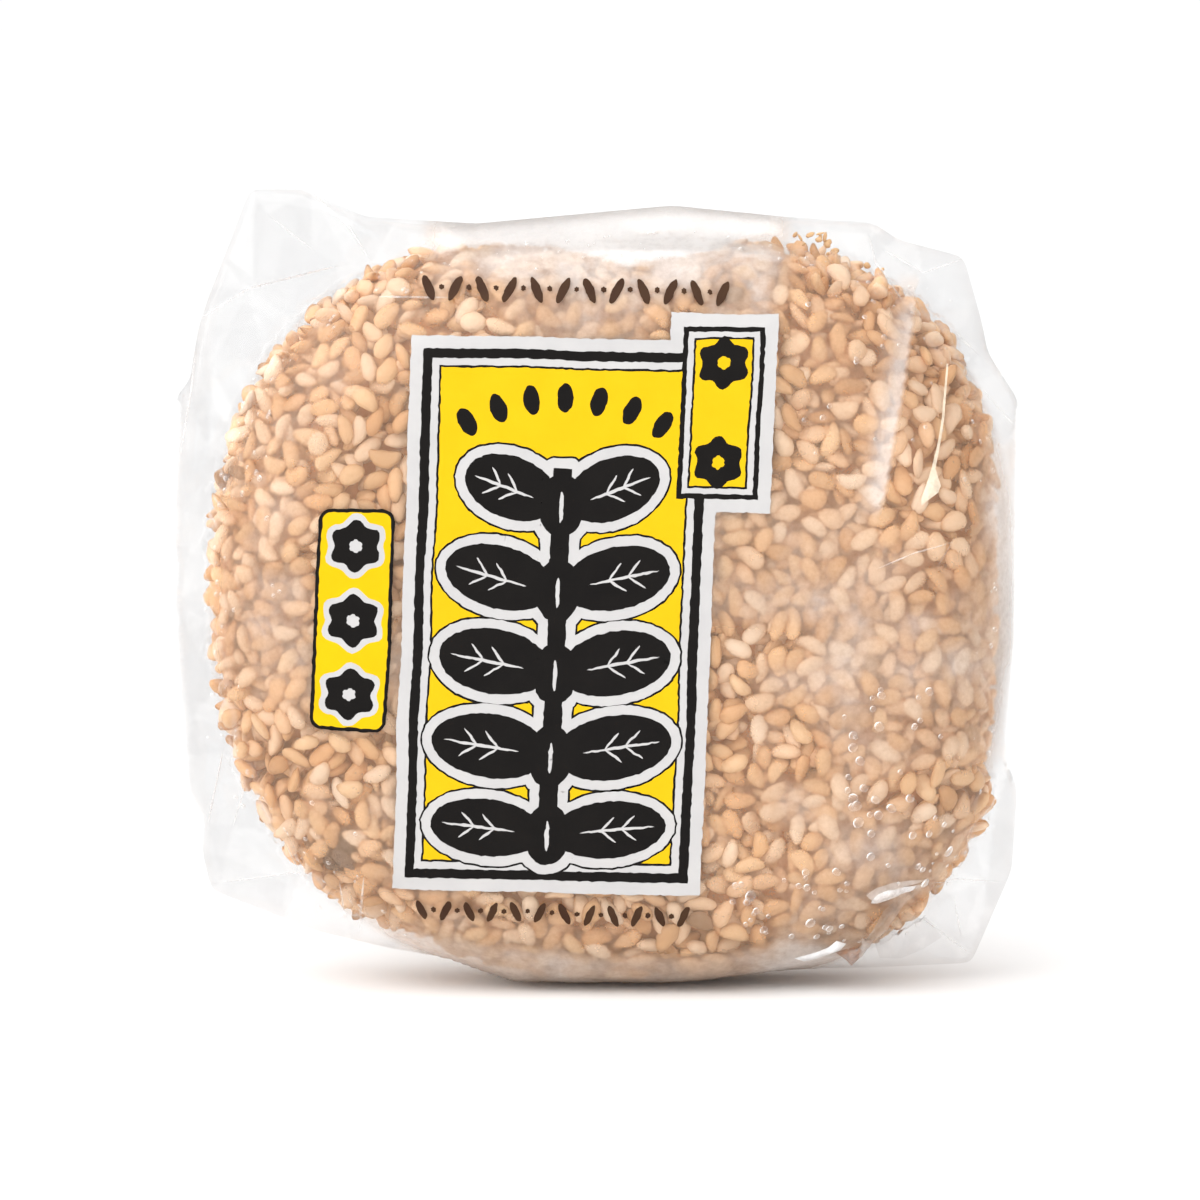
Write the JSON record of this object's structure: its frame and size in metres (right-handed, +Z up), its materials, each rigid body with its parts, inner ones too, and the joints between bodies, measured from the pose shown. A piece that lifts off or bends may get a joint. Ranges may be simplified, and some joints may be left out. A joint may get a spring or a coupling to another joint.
{
  "type": "sesame daifuku",
  "caption": "Pressed rounded-square rice cake crusted with sesame seeds, sealed in clear printed film with crumpled corners, standing on its rim.",
  "frame": {"origin": "on the ground under the middle of the pack's box", "axes": "+X to the pack's right as seen from the printed front, +Y from the printed front to the folded back, +Z up"},
  "size_m": [0.0844, 0.0262, 0.0795],
  "materials": {
    "film_over_seeds": "clear film over pale sesame seeds",
    "print_white": "white ink on film",
    "print_black": "black ink on film",
    "print_yellow": "yellow ink on film"
  },
  "bodies": {
    "root": {"wrapped_daifuku": "film_over_seeds", "label_border": "print_white", "label_frame": "print_black", "label_field": "print_yellow", "label_plant": "print_black", "badge_frame": "print_black", "badge_field": "print_yellow", "tab_frame": "print_black", "tab_field": "print_yellow", "badge_bloom_1": "print_black", "badge_bloom_2": "print_black", "tab_bloom_1": "print_black", "tab_bloom_2": "print_black", "tab_bloom_3": "print_black"}
  },
  "joints": []
}
